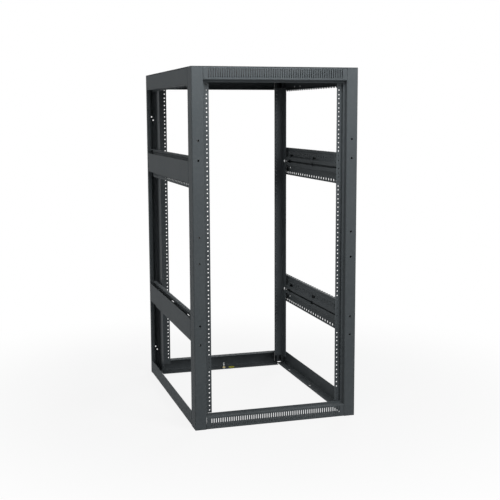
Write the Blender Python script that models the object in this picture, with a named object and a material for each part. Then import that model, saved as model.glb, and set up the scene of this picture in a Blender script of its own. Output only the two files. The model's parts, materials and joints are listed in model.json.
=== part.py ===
"""Open server rack cabinet, 25 rack units high, with depth-adjustable rack rails.

Units are metres.  +Z is up, the front faces -Y, and the origin lies on the
floor under the middle of the cabinet.  Every piece is folded sheet, so most
shapes are an open path of flanges with rounded bends, given the sheet's
thickness and stretched along the flanges.
"""

import math

import bmesh
import bpy
from mathutils import Vector

# ---------------------------------------------------------------------------
# Driving sizes
# ---------------------------------------------------------------------------

CLEAR = 0.0003                 # gap left between pieces that seat on each other

# What the cabinet has to hold
RACK_UNIT = 0.04445            # height of one rack unit
UNITS = 25
PANEL_WIDTH = 0.4826           # a rack panel
EAR_INSET = 0.00875            # from a panel's edge to its column of holes
PANEL_SLACK = 0.0024           # room for a panel between the side lips
UNIT_SLACK = 0.00175           # room over the stack of units between the lips

# Frame
DEPTH = 0.795
SHEET = 0.0020                 # frame sheet thickness
BEND = 0.0015                  # inside radius of every bend
BEND_STEPS = 2
POST_FACE = 0.0400             # width of a post seen from the front
FRONT_POST_SIDE = 0.0590       # depth of a front post's side wall
REAR_POST_SIDE = 0.0400
POST_RETURN = 0.0150           # flange turned in at a side wall's inner edge
POST_HEM = 0.0140              # seat for the brace plates on that flange
FASCIA_FACE = 0.0440
JAMB_RETURN = 0.0180           # how far the front opening's jamb goes back
JAMB_LIP = 0.0075              # lip standing into the opening behind it
REAR_JAMB = 0.0180

# Top and bottom frame rails
TOP_RAIL_WALL = 0.0580
TOP_RAIL_FLANGE = 0.0400
TOP_RAIL_RETURN = 0.0220
TOP_RAIL_HEM = 0.0080
TOP_REAR_WALL = 0.0550
TOP_REAR_RETURN = 0.0300
BOTTOM_RAIL_WALL = 0.0520
BOTTOM_RAIL_FLANGE = 0.0350
BOTTOM_REAR_WALL = 0.0500
BOTTOM_REAR_SHELF = 0.0330
BOTTOM_REAR_FLANGE = 0.0570

# Side braces: an outer cover and an inner plate that carries the rack rails
LOWER_BRACE = 0.3400           # height of a brace's middle over the floor
UPPER_BRACE = 0.8720
COVER_HEIGHT = 0.0720
PLATE_BOTTOM = 0.0570          # from a brace's middle down to its plate's lower edge
PLATE_LIP = 0.0120             # from the joggle up to the plate's top flange
RIDGE_FLAT = 0.0340            # height of the ridge that the rack rails bolt to
RIDGE_SLOPE = 0.0045           # height that each sloping side of it takes
CREASE_HEIGHT = 0.0410         # middle of the joggle under the top lip
CREASE_DEPTH = 0.0030
CREASE_SLOPE = 0.0030
PLATE_HOLE_PITCH = 0.0254
PLATE_END_MARGIN = 0.0240      # from a plate's end to its first hole
LIP_HOLE = (0.0120, 0.0095)
LIP_HOLE_HEIGHT = -0.0470      # from the brace's middle height
ACCESS_HOLE = (0.0440, 0.0130)
ACCESS_HEIGHT = 0.0300
ACCESS_SPACING = 0.2580
RAIL_SLOT = 0.0070             # height of the long slot that a rail bolt slides in
KEYHOLE = (0.0220, 0.0160)
SLOT_END = 0.0050              # from a rail bolt's last place to the slot's end

# Rack rails
RAIL_SHEET = 0.0020
RAIL_INNER = 0.00755           # from the hole column to the rail's free edge
RAIL_OUTER = 0.02945           # from the hole column to the rail's side wall
RAIL_WALL = 0.0420             # depth of the side wall
FRONT_RAIL_SETBACK = 0.0290
REAR_RAIL_SETBACK = 0.0800
RAIL_OVERRUN = 0.0030          # rail standing past the first and last unit
PANEL_HOLE = 0.0048
UNIT_HOLES = (0.00635, 0.02223, 0.0381)   # hole heights inside one unit

# Vent strips in the fascias
VENT_SLOT = (0.0030, 0.0305)
VENT_PITCH = 0.00787
VENT_MARGIN = 0.0140           # from a fascia's end to the first slot
VENT_EDGE = 0.0065             # from the fascia's outer edge to the slots

# Holes in the frame
FACE_HOLE = 0.0065
FACE_HOLE_INSET = 0.0205       # from the cabinet's side to the column of holes
FACE_HOLE_HEIGHTS = (0.2946, 0.3595, 0.5700, 0.6580, 0.9110, 0.9760)
REAR_HOLE = 0.0050
REAR_HOLE_SPREAD = 0.0130
REAR_HOLE_HEIGHTS = (0.1000, 1.0460)
FLOOR_HOLE = 0.0110
FLOOR_HOLE_INSET = 0.0230
FLOOR_HOLE_SPACING = 0.2450
SHELF_HOLE = 0.0070
SHELF_HOLE_PITCH = 0.0235

# Fasteners
BOLT_RADIUS = 0.0030
BOLT_HEAD_RADIUS = 0.0065
BOLT_HEAD = 0.0035
BOLT_END = 0.0025              # thread standing out of its nut
BOLT_INSET = 0.0120            # from the free edge of a rack rail's side wall
BOLT_HOLE_SLACK = 0.0016
NUT_RADIUS = 0.0060
NUT = 0.0045

# Grounding point and its marker on the rear floor flange
STUD_RADIUS = 0.0030
STUD_HEIGHT = 0.0250
STUD_FOOT_RADIUS = 0.0055
STUD_FOOT = 0.0015
STUD_PLACE = (0.0100, 0.0500)  # from the middle, and from the rear face
WASHER_RADIUS = 0.0075
WASHER = 0.0012
MARKER_RADIUS = 0.0130
MARKER = 0.0004
MARKER_PLACE = (0.0460, 0.0400)

# ---------------------------------------------------------------------------
# Sizes that follow
# ---------------------------------------------------------------------------

HOLE_COLUMN = PANEL_WIDTH / 2 - EAR_INSET   # from the middle to a column of panel holes
OPENING_WIDTH = PANEL_WIDTH + PANEL_SLACK
OPENING_HEIGHT = UNITS * RACK_UNIT + UNIT_SLACK
WIDTH = OPENING_WIDTH + 2 * (JAMB_LIP + POST_FACE)
HEIGHT = OPENING_HEIGHT + 2 * (JAMB_LIP + FASCIA_FACE)
HALF_WIDTH = WIDTH / 2
FRONT = -DEPTH / 2
REAR = DEPTH / 2
FRAME_TOP = HEIGHT - SHEET - CLEAR          # underside of the top panel, less the gap
POST_INNER = HALF_WIDTH - POST_FACE         # jamb of the openings
LIP_BOTTOM = FASCIA_FACE + JAMB_LIP
LIP_TOP = HEIGHT - LIP_BOTTOM
FIRST_UNIT = LIP_BOTTOM + UNIT_SLACK / 2    # underside of the lowest unit
SIDE_FROM = FRONT + FRONT_POST_SIDE + CLEAR  # where side pieces butt on the posts
SIDE_TO = REAR - REAR_POST_SIDE - CLEAR
HEM_FACE = HALF_WIDTH - POST_RETURN         # face of the posts' hems
PLATE_FACE = HEM_FACE - CLEAR - SHEET       # inner face of a brace plate
PLATE_EDGE = HALF_WIDTH - SHEET - CLEAR     # outer edge of its top flange
PLATE_TOP = CREASE_HEIGHT + PLATE_LIP       # face of that flange over the brace's middle
RAIL_SIDE = HOLE_COLUMN + RAIL_OUTER        # outer face of a rack rail's side wall
RIDGE_FACE = RAIL_SIDE + CLEAR              # inner face of a plate's ridge
RAIL_BOTTOM = FIRST_UNIT - RAIL_OVERRUN
RAIL_TOP = FIRST_UNIT + UNITS * RACK_UNIT + RAIL_OVERRUN
SIDES = {"left": -1, "right": 1}
BRACE_HEIGHTS = {"lower": LOWER_BRACE, "upper": UPPER_BRACE}
RAIL_ENDS = {"front": (FRONT + FRONT_RAIL_SETBACK, 1), "rear": (REAR - REAR_RAIL_SETBACK, -1)}

# ---------------------------------------------------------------------------
# Helpers
# ---------------------------------------------------------------------------


def clear_scene():
    """Remove whatever the scene holds."""
    for old in list(bpy.data.objects):
        bpy.data.objects.remove(old, do_unlink=True)


def material(name, colour, roughness, metallic):
    """A Principled BSDF material."""
    made = bpy.data.materials.new(name)
    made.use_nodes = True
    shader = made.node_tree.nodes["Principled BSDF"]
    shader.inputs["Base Color"].default_value = (*colour, 1.0)
    shader.inputs["Roughness"].default_value = roughness
    shader.inputs["Metallic"].default_value = metallic
    return made


def finish_object(name, mesh_edit, paint, origin=(0.0, 0.0, 0.0), smooth=False):
    """Turn a bmesh in world places into an object whose origin is given."""
    bmesh.ops.recalc_face_normals(mesh_edit, faces=mesh_edit.faces)
    bmesh.ops.translate(mesh_edit, verts=mesh_edit.verts, vec=-Vector(origin))
    mesh = bpy.data.meshes.new(name)
    mesh_edit.to_mesh(mesh)
    mesh_edit.free()
    if smooth:
        mesh.shade_smooth()
        mesh.set_sharp_from_angle(angle=math.radians(35))
    piece = bpy.data.objects.new(name, mesh)
    piece.location = origin
    bpy.context.collection.objects.link(piece)
    if paint:
        mesh.materials.append(paint)
    return piece


def bend_path(corners, thickness):
    """Round the bends of an open path whose sheet lies on its left.

    Returns the points of the skin, and for each stretch between two points
    the flanges that it belongs to: one, or the two that meet in a bend.
    """
    corners = [Vector(corner) for corner in corners]
    points = [corners[0]]
    owners = []
    for index in range(1, len(corners) - 1):
        here = corners[index]
        back = (corners[index - 1] - here).normalized()
        ahead = (corners[index + 1] - here).normalized()
        half = back.angle(ahead) / 2
        turns_left = ahead.cross(back) > 0
        radius = BEND + thickness if turns_left else BEND
        centre = here + (back + ahead).normalized() * (radius / math.sin(half))
        first = here + back * (radius / math.tan(half)) - centre
        last = here + ahead * (radius / math.tan(half)) - centre
        start = math.atan2(first.y, first.x)
        swing = (math.atan2(last.y, last.x) - start + math.pi) % math.tau - math.pi
        for step in range(BEND_STEPS + 1):
            angle = start + swing * step / BEND_STEPS
            points.append(centre + radius * Vector((math.cos(angle), math.sin(angle))))
            owners.append((index - 1,) if step == 0 else (index - 1, index))
    points.append(corners[-1])
    owners.append((len(corners) - 2,))
    return points, owners


def left_offset(points, distance):
    """Offset an open path to its left, with mitred joints."""
    runs = [(after - before).normalized() for before, after in zip(points, points[1:])]
    normals = [Vector((-run.y, run.x)) for run in runs]
    moved = [points[0] + normals[0] * distance]
    for point, one, two in zip(points[1:-1], normals, normals[1:]):
        middle = (one + two).normalized()
        moved.append(point + middle * (distance / middle.dot(one)))
    moved.append(points[-1] + normals[-1] * distance)
    return moved


def folded_sheet(corners, spans, place, thickness=SHEET):
    """Fold a sheet along a path.

    corners are the bends of its outer skin, with the sheet on the left.
    spans holds each flange's start and end along the fold lines, and place
    turns (u, v, w) into a point: u and v in the path's plane, w along it.
    """
    skin, owners = bend_path(corners, thickness)
    inner = left_offset(skin, thickness)
    stations = sorted({end for span in spans for end in span})
    outside = set()
    for level in range(len(stations) - 1):
        for index, flanges in enumerate(owners):
            low = max(spans[flange][0] for flange in flanges)
            high = min(spans[flange][1] for flange in flanges)
            if stations[level] < low or stations[level + 1] > high:
                continue
            ring = ((0, index), (0, index + 1), (1, index + 1), (1, index))
            near = [(level, *corner) for corner in ring]
            far = [(level + 1, *corner) for corner in ring]
            walls = [(near[side], near[side - 1], far[side - 1], far[side]) for side in range(4)]
            for face in (tuple(near), tuple(far), *walls):
                # a face that two neighbouring cells share is inside the sheet
                outside ^= {tuple(sorted(face))}
    edit = bmesh.new()
    verts = {}
    for face in sorted(outside):
        for key in face:
            if key not in verts:
                level, side, index = key
                corner = (skin, inner)[side][index]
                verts[key] = edit.verts.new(place(corner.x, corner.y, stations[level]))
        edit.faces.new([verts[key] for key in in_order(face)])
    bmesh.ops.recalc_face_normals(edit, faces=edit.faces)
    bmesh.ops.dissolve_limit(edit, angle_limit=math.radians(1), verts=edit.verts, edges=edit.edges)
    return edit


def in_order(face):
    """The corners of a cell's face, sorted by their keys, in ring order."""
    first, second, third, fourth = face
    return first, second, fourth, third


def prism(edit, outline, start, end, place):
    """Add an outline of (u, v) points, stretched from start to end, to edit."""
    near = [edit.verts.new(place(u, v, start)) for u, v in outline]
    far = [edit.verts.new(place(u, v, end)) for u, v in outline]
    edit.faces.new(near)
    edit.faces.new(far)
    for index in range(len(outline)):
        edit.faces.new((near[index - 1], near[index], far[index], far[index - 1]))


def box_outline(middle, width, height):
    """The four corners of a rectangle about a middle point."""
    u, v = middle
    return [(u - width / 2, v - height / 2), (u + width / 2, v - height / 2),
            (u + width / 2, v + height / 2), (u - width / 2, v + height / 2)]


def round_outline(middle, diameter, sides=6):
    """A regular outline that stands for a round hole, flat side down."""
    radius = diameter / 2
    turns = [math.tau * (index + 0.5) / sides for index in range(sides)]
    return [(middle[0] + radius * math.cos(turn), middle[1] + radius * math.sin(turn))
            for turn in turns]


def slot_outline(middle, length, height, steps=3):
    """A slot along u whose ends are round."""
    radius = height / 2
    points = []
    for end in (1, -1):
        centre = middle[0] + end * (length / 2 - radius)
        for step in range(steps + 1):
            turn = math.pi * (step / steps - 0.5)
            points.append((centre + end * radius * math.cos(turn),
                           middle[1] + end * radius * math.sin(turn)))
    return points


def keyhole_outline(start, end, height, keyhole, stations):
    """A long slot along u, v = 0, that widens at each station."""
    half = height / 2
    width, tall = keyhole
    inset = (tall - height) / 2
    upper = [(start, half)]
    for station in stations:
        upper += [(station - width / 2, half), (station - width / 2 + inset, tall / 2),
                  (station + width / 2 - inset, tall / 2), (station + width / 2, half)]
    upper.append((end, half))
    return upper + [(u, -v) for u, v in reversed(upper)]


def cut(piece, name, outlines, start, end, place, origin=(0.0, 0.0, 0.0)):
    """Cut outlines, stretched from start to end, out of a piece."""
    edit = bmesh.new()
    for outline in outlines:
        prism(edit, outline, start, end, place)
    cutter = finish_object(name, edit, None, origin)
    cutter.hide_render = True
    cutter.display_type = "WIRE"
    boolean = piece.modifiers.new(name, "BOOLEAN")
    boolean.operation = "DIFFERENCE"
    boolean.solver = "EXACT"
    boolean.object = cutter


def turned(edit, profile, foot, axis, sides):
    """Turn a profile of (radius, height) points about an axis from its foot."""
    axis = Vector(axis).normalized()
    across = axis.orthogonal().normalized()
    corners = [edit.verts.new(Vector(foot) + across * radius + axis * height)
               for radius, height in profile]
    pairs = list(zip(corners, corners[1:]))
    if profile[0][0] > 0:
        pairs.append((corners[-1], corners[0]))
    edges = [edit.edges.new(pair) for pair in pairs]
    bmesh.ops.spin(edit, geom=corners + edges, cent=foot, axis=axis,
                   angle=math.tau, steps=sides, use_merge=True)
    bmesh.ops.remove_doubles(edit, verts=edit.verts, dist=1e-6)


def even_places(first, last, pitch):
    """Places a pitch apart, centred between two ends."""
    count = math.floor((last - first) / pitch + 1e-6) + 1
    start = (first + last - (count - 1) * pitch) / 2
    return [start + index * pitch for index in range(count)]


def upright(side):
    """Place for a path across the cabinet, (x from the middle, y, z)."""
    return lambda u, v, w: Vector((side * u, v, w))


def along_side(side):
    """Place for a path in a side's section, (x from the middle, z, y)."""
    return lambda u, v, w: Vector((side * u, w, v))


def along_width(u, v, w):
    """Place for a path in the cabinet's long section, (y, z, x)."""
    return Vector((w, u, v))


def facing_front(u, v, w):
    """Place for an outline on a face that looks forward, (x, z, y)."""
    return Vector((u, w, v))


def facing_side(side):
    """Place for an outline on a face that looks sideways, (y, z, x from the middle)."""
    return lambda u, v, w: Vector((side * w, u, v))


def lying_flat(u, v, w):
    """Place for an outline on a level face, (x, y, z)."""
    return Vector((u, v, w))


# ---------------------------------------------------------------------------
# Frame
# ---------------------------------------------------------------------------


def front_post(side_name, paint):
    """A front corner post, with the jamb and lip of the front opening."""
    side = SIDES[side_name]
    lip = FRONT + JAMB_RETURN
    back = FRONT + FRONT_POST_SIDE
    corners = [(OPENING_WIDTH / 2, lip), (POST_INNER, lip), (POST_INNER, FRONT),
               (HALF_WIDTH, FRONT), (HALF_WIDTH, back), (HEM_FACE, back),
               (HEM_FACE, back - POST_HEM)]
    spans = [(LIP_BOTTOM + CLEAR, LIP_TOP - CLEAR)] + [(0.0, FRAME_TOP)] * 5
    name = f"front_{side_name}_post"
    post = finish_object(name, folded_sheet(corners, spans, upright(side)), paint)
    column = side * (HALF_WIDTH - FACE_HOLE_INSET)
    outlines = [round_outline((column, height), FACE_HOLE) for height in FACE_HOLE_HEIGHTS]
    cut(post, f"{name}_face_holes", outlines, FRONT - SHEET, FRONT + 2 * SHEET, facing_front)


def rear_post(side_name, paint):
    """A rear corner post, with its groups of three fixing holes."""
    side = SIDES[side_name]
    front_edge = REAR - REAR_POST_SIDE
    corners = [(HEM_FACE, front_edge + POST_HEM), (HEM_FACE, front_edge), (HALF_WIDTH, front_edge),
               (HALF_WIDTH, REAR), (POST_INNER, REAR), (POST_INNER, REAR - REAR_JAMB)]
    spans = [(0.0, FRAME_TOP)] * 5
    name = f"rear_{side_name}_post"
    post = finish_object(name, folded_sheet(corners, spans, upright(side)), paint)
    middle = side * (HALF_WIDTH + POST_INNER) / 2
    spread = REAR_HOLE_SPREAD / 2
    outlines = []
    for height in REAR_HOLE_HEIGHTS:
        for across, up in ((-spread, -spread), (spread, -spread), (0.0, spread)):
            outlines.append(round_outline((middle + across, height + up), REAR_HOLE))
    cut(post, f"{name}_holes", outlines, REAR - 2 * SHEET, REAR + SHEET, facing_front)


def fascia(name, corners, vent_bottom, paint):
    """A front fascia with its strip of vent slots."""
    spans = [(CLEAR - POST_INNER, POST_INNER - CLEAR)] * (len(corners) - 1)
    sheet = finish_object(name, folded_sheet(corners, spans, along_width), paint)
    width, tall = VENT_SLOT
    outlines = [box_outline((place, vent_bottom + tall / 2), width, tall)
                for place in even_places(VENT_MARGIN - POST_INNER, POST_INNER - VENT_MARGIN,
                                         VENT_PITCH)]
    cut(sheet, f"{name}_vents", outlines, FRONT - SHEET, FRONT + 2 * SHEET, facing_front)


def top_fascia(paint):
    """The fascia over the front opening."""
    lower = HEIGHT - FASCIA_FACE
    lip = FRONT + JAMB_RETURN
    corners = [(FRONT + FRONT_POST_SIDE, FRAME_TOP), (FRONT, FRAME_TOP), (FRONT, lower),
               (lip, lower), (lip, LIP_TOP)]
    fascia("top_fascia", corners, HEIGHT - VENT_EDGE - VENT_SLOT[1], paint)


def bottom_fascia(paint):
    """The fascia under the front opening, with the front floor flange."""
    lip = FRONT + JAMB_RETURN
    corners = [(lip, LIP_BOTTOM), (lip, FASCIA_FACE), (FRONT, FASCIA_FACE), (FRONT, 0.0),
               (FRONT + FRONT_POST_SIDE, 0.0)]
    fascia("bottom_fascia", corners, VENT_EDGE, paint)


def top_side_rail(side_name, paint):
    """The rail along the top of one side."""
    lower = HEIGHT - TOP_RAIL_WALL
    hem = HALF_WIDTH - TOP_RAIL_RETURN
    corners = [(hem, lower - TOP_RAIL_HEM), (hem, lower), (HALF_WIDTH, lower),
               (HALF_WIDTH, FRAME_TOP), (HALF_WIDTH - TOP_RAIL_FLANGE, FRAME_TOP)]
    spans = [(SIDE_FROM, SIDE_TO)] * 4
    edit = folded_sheet(corners, spans, along_side(SIDES[side_name]))
    finish_object(f"top_{side_name}_rail", edit, paint)


def bottom_side_rail(side_name, paint):
    """The rail along the floor on one side, with holes in its flange."""
    side = SIDES[side_name]
    corners = [(HALF_WIDTH - BOTTOM_RAIL_FLANGE, 0.0), (HALF_WIDTH, 0.0),
               (HALF_WIDTH, BOTTOM_RAIL_WALL)]
    spans = [(SIDE_FROM, SIDE_TO)] * 2
    name = f"bottom_{side_name}_rail"
    rail = finish_object(name, folded_sheet(corners, spans, along_side(side)), paint)
    row = side * (HALF_WIDTH - FLOOR_HOLE_INSET)
    outlines = [round_outline((row, place), FLOOR_HOLE)
                for place in (-FLOOR_HOLE_SPACING, 0.0, FLOOR_HOLE_SPACING)]
    cut(rail, f"{name}_holes", outlines, -SHEET, 2 * SHEET, lying_flat)


def top_rear_rail(paint):
    """The rail across the top of the back."""
    lower = HEIGHT - TOP_REAR_WALL
    corners = [(REAR - TOP_REAR_RETURN, lower), (REAR, lower), (REAR, FRAME_TOP),
               (REAR - REAR_POST_SIDE, FRAME_TOP)]
    spans = [(CLEAR - POST_INNER, POST_INNER - CLEAR)] * 3
    finish_object("top_rear_rail", folded_sheet(corners, spans, along_width), paint)


def bottom_rear_rail(paint):
    """The channel across the floor at the back, with a row of holes in its shelf."""
    corners = [(REAR - BOTTOM_REAR_FLANGE, 0.0), (REAR, 0.0), (REAR, BOTTOM_REAR_WALL),
               (REAR - BOTTOM_REAR_SHELF, BOTTOM_REAR_WALL)]
    spans = [(CLEAR - POST_INNER, POST_INNER - CLEAR)] * 3
    rail = finish_object("bottom_rear_rail", folded_sheet(corners, spans, along_width), paint)
    row = REAR - BOTTOM_REAR_SHELF / 2
    reach = POST_INNER - SHELF_HOLE_PITCH / 2
    outlines = [box_outline((place, row), SHELF_HOLE, SHELF_HOLE)
                for place in even_places(-reach, reach, SHELF_HOLE_PITCH)]
    cut(rail, "bottom_rear_rail_holes", outlines, BOTTOM_REAR_WALL - 2 * SHEET,
        BOTTOM_REAR_WALL + SHEET, lying_flat)


def top_panel(paint):
    """The flat lid, with corners that follow the posts' bends."""
    radius = BEND + SHEET
    outline = []
    for quarter, (side, end) in enumerate(((1, 1), (-1, 1), (-1, -1), (1, -1))):
        for step in range(BEND_STEPS + 1):
            turn = math.pi / 2 * (quarter + step / BEND_STEPS)
            outline.append((side * (HALF_WIDTH - radius) + radius * math.cos(turn),
                            end * (DEPTH / 2 - radius) + radius * math.sin(turn)))
    edit = bmesh.new()
    prism(edit, outline, HEIGHT - SHEET, HEIGHT, lying_flat)
    finish_object("top_panel", edit, paint)


# ---------------------------------------------------------------------------
# Side braces
# ---------------------------------------------------------------------------


def brace_cover(level, side_name, paint):
    """The strip that closes a brace on the outside, flush with the side."""
    edit = bmesh.new()
    outline = box_outline((HALF_WIDTH - SHEET / 2, BRACE_HEIGHTS[level]), SHEET, COVER_HEIGHT)
    prism(edit, outline, SIDE_FROM, SIDE_TO, along_side(SIDES[side_name]))
    finish_object(f"{level}_{side_name}_cover", edit, paint)


def brace_plate(level, side_name, paint):
    """The ribbed plate behind a cover, which the rack rails are bolted to."""
    side = SIDES[side_name]
    middle = BRACE_HEIGHTS[level]
    ridge = RIDGE_FLAT / 2
    band = PLATE_FACE - CREASE_DEPTH
    profile = [(PLATE_EDGE, PLATE_TOP), (PLATE_FACE, PLATE_TOP),
               (PLATE_FACE, CREASE_HEIGHT + CREASE_SLOPE),
               (band, CREASE_HEIGHT), (band, ridge + RIDGE_SLOPE),
               (RIDGE_FACE, ridge), (RIDGE_FACE, -ridge),
               (PLATE_FACE, -ridge - RIDGE_SLOPE), (PLATE_FACE, -PLATE_BOTTOM)]
    corners = [(u, middle + v) for u, v in profile]
    start = SIDE_FROM - CLEAR - POST_HEM
    end = SIDE_TO + CLEAR + POST_HEM
    # the top flange reaches outwards between the posts, the web laps their hems
    spans = [(SIDE_FROM, SIDE_TO)] + [(start, end)] * (len(corners) - 2)
    name = f"{level}_{side_name}_plate"
    plate = finish_object(name, folded_sheet(corners, spans, along_side(side)), paint)

    stations = (-ACCESS_SPACING, 0.0, ACCESS_SPACING)
    first = bolt_place("front") - SLOT_END
    last = bolt_place("rear") + SLOT_END
    slot = keyhole_outline(first, last, RAIL_SLOT, KEYHOLE, stations)
    outlines = [[(u, middle + v) for u, v in slot]]
    places = even_places(start + PLATE_END_MARGIN, end - PLATE_END_MARGIN, PLATE_HOLE_PITCH)
    for place in places:
        outlines.append(box_outline((place, middle + LIP_HOLE_HEIGHT), *LIP_HOLE))
    for station in stations:
        outlines.append(slot_outline((station, middle + ACCESS_HEIGHT), *ACCESS_HOLE))
    cut(plate, f"{name}_holes", outlines, RIDGE_FACE - SHEET, PLATE_FACE + 2 * SHEET,
        facing_side(side))


# ---------------------------------------------------------------------------
# Rack rails
# ---------------------------------------------------------------------------


def bolt_place(end_name):
    """Where along the cabinet a rack rail's bolts pass through its side wall."""
    face, inward = RAIL_ENDS[end_name]
    return face + inward * (RAIL_WALL - BOLT_INSET)


def rack_rail(end_name, side_name, paint):
    """An L-shaped rack rail with three panel holes to each rack unit."""
    side = SIDES[side_name]
    face, inward = RAIL_ENDS[end_name]
    corners = [(HOLE_COLUMN - RAIL_INNER, 0.0), (RAIL_SIDE, 0.0), (RAIL_SIDE, RAIL_WALL)]
    spans = [(RAIL_BOTTOM, RAIL_TOP)] * 2
    edit = folded_sheet(corners, spans, lambda u, v, w: Vector((side * u, face + inward * v, w)),
                        RAIL_SHEET)
    name = f"{end_name}_{side_name}_rack_rail"
    origin = (side * HOLE_COLUMN, face, RAIL_BOTTOM)
    rail = finish_object(name, edit, paint, origin)
    outlines = [box_outline((side * HOLE_COLUMN, FIRST_UNIT + unit * RACK_UNIT + height),
                            PANEL_HOLE, PANEL_HOLE)
                for unit in range(UNITS) for height in UNIT_HOLES]
    through = sorted((face - inward * RAIL_SHEET, face + 2 * inward * RAIL_SHEET))
    cut(rail, f"{name}_panel_holes", outlines, *through, facing_front, origin)
    outlines = [round_outline((bolt_place(end_name), height), 2 * BOLT_RADIUS + BOLT_HOLE_SLACK)
                for height in BRACE_HEIGHTS.values()]
    cut(rail, f"{name}_bolt_holes", outlines, RAIL_SIDE - 2 * RAIL_SHEET,
        RAIL_SIDE + RAIL_SHEET, facing_side(side), origin)


def rail_bolt(end_name, side_name, level, steel):
    """One of the bolts that clamp a rack rail to its two brace plates."""
    side = SIDES[side_name]
    seat = BOLT_HEAD
    end = seat + CLEAR + RAIL_SHEET + CLEAR + SHEET + CLEAR + NUT + BOLT_END
    profile = [(0.0, 0.0), (BOLT_HEAD_RADIUS, 0.0), (BOLT_HEAD_RADIUS, seat),
               (BOLT_RADIUS, seat), (BOLT_RADIUS, end), (0.0, end)]
    top = RAIL_SIDE - RAIL_SHEET - CLEAR - BOLT_HEAD
    foot = (side * top, bolt_place(end_name), BRACE_HEIGHTS[level])
    edit = bmesh.new()
    turned(edit, profile, foot, (side, 0, 0), 6)
    finish_object(f"{end_name}_{side_name}_{level}_bolt", edit, steel, foot, smooth=True)


def rail_nut(end_name, side_name, level, steel):
    """The nut behind a plate's ridge, on a rack rail's bolt."""
    side = SIDES[side_name]
    bore = BOLT_RADIUS + CLEAR
    profile = [(bore, 0.0), (NUT_RADIUS, 0.0), (NUT_RADIUS, NUT), (bore, NUT)]
    foot = (side * (RIDGE_FACE + SHEET + CLEAR), bolt_place(end_name), BRACE_HEIGHTS[level])
    edit = bmesh.new()
    turned(edit, profile, foot, (side, 0, 0), 6)
    finish_object(f"{end_name}_{side_name}_{level}_nut", edit, steel, foot, smooth=True)


# ---------------------------------------------------------------------------
# Grounding point
# ---------------------------------------------------------------------------


def grounding_point(brass, steel, yellow):
    """The stud, washer and nut on the rear floor flange, and the round marker."""
    across, back = STUD_PLACE
    foot = (across, REAR - back, SHEET + CLEAR)
    edit = bmesh.new()
    turned(edit, [(0.0, 0.0), (STUD_FOOT_RADIUS, 0.0), (STUD_FOOT_RADIUS, STUD_FOOT),
                  (STUD_RADIUS, STUD_FOOT), (STUD_RADIUS, STUD_HEIGHT), (0.0, STUD_HEIGHT)],
           foot, (0, 0, 1), 12)
    finish_object("ground_stud", edit, brass, foot, smooth=True)

    bore = STUD_RADIUS + CLEAR
    seat = (across, REAR - back, foot[2] + STUD_FOOT + CLEAR)
    edit = bmesh.new()
    turned(edit, [(bore, 0.0), (WASHER_RADIUS, 0.0), (WASHER_RADIUS, WASHER), (bore, WASHER)],
           seat, (0, 0, 1), 12)
    finish_object("ground_washer", edit, steel, seat, smooth=True)

    seat = (across, REAR - back, seat[2] + WASHER + CLEAR)
    edit = bmesh.new()
    turned(edit, [(bore, 0.0), (NUT_RADIUS, 0.0), (NUT_RADIUS, NUT), (bore, NUT)],
           seat, (0, 0, 1), 12)
    finish_object("ground_nut", edit, brass, seat, smooth=True)

    across, back = MARKER_PLACE
    place = (across, REAR - back, SHEET + CLEAR)
    edit = bmesh.new()
    turned(edit, [(0.0, 0.0), (MARKER_RADIUS, 0.0), (MARKER_RADIUS, MARKER), (0.0, MARKER)],
           place, (0, 0, 1), 16)
    finish_object("ground_marker", edit, yellow, place, smooth=True)


def build():
    """Make every piece of the cabinet."""
    clear_scene()
    paint = material("textured_black_paint", (0.055, 0.063, 0.068), 0.62, 0.0)
    rail_paint = material("rack_rail_paint", (0.040, 0.046, 0.050), 0.55, 0.0)
    steel = material("zinc_plated_steel", (0.55, 0.56, 0.57), 0.35, 1.0)
    brass = material("yellow_zinc_steel", (0.60, 0.47, 0.20), 0.40, 1.0)
    yellow = material("yellow_vinyl", (0.78, 0.55, 0.04), 0.45, 0.0)

    for side_name in SIDES:
        front_post(side_name, paint)
        rear_post(side_name, paint)
        top_side_rail(side_name, paint)
        bottom_side_rail(side_name, paint)
        for level in BRACE_HEIGHTS:
            brace_cover(level, side_name, paint)
            brace_plate(level, side_name, paint)
        for end_name in RAIL_ENDS:
            rack_rail(end_name, side_name, rail_paint)
            for level in BRACE_HEIGHTS:
                rail_bolt(end_name, side_name, level, steel)
                rail_nut(end_name, side_name, level, steel)
    top_fascia(paint)
    bottom_fascia(paint)
    top_rear_rail(paint)
    bottom_rear_rail(paint)
    top_panel(paint)
    grounding_point(brass, steel, yellow)


build()
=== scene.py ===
import json
import math

import bmesh
import bpy
from mathutils import Matrix, Vector


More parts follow.
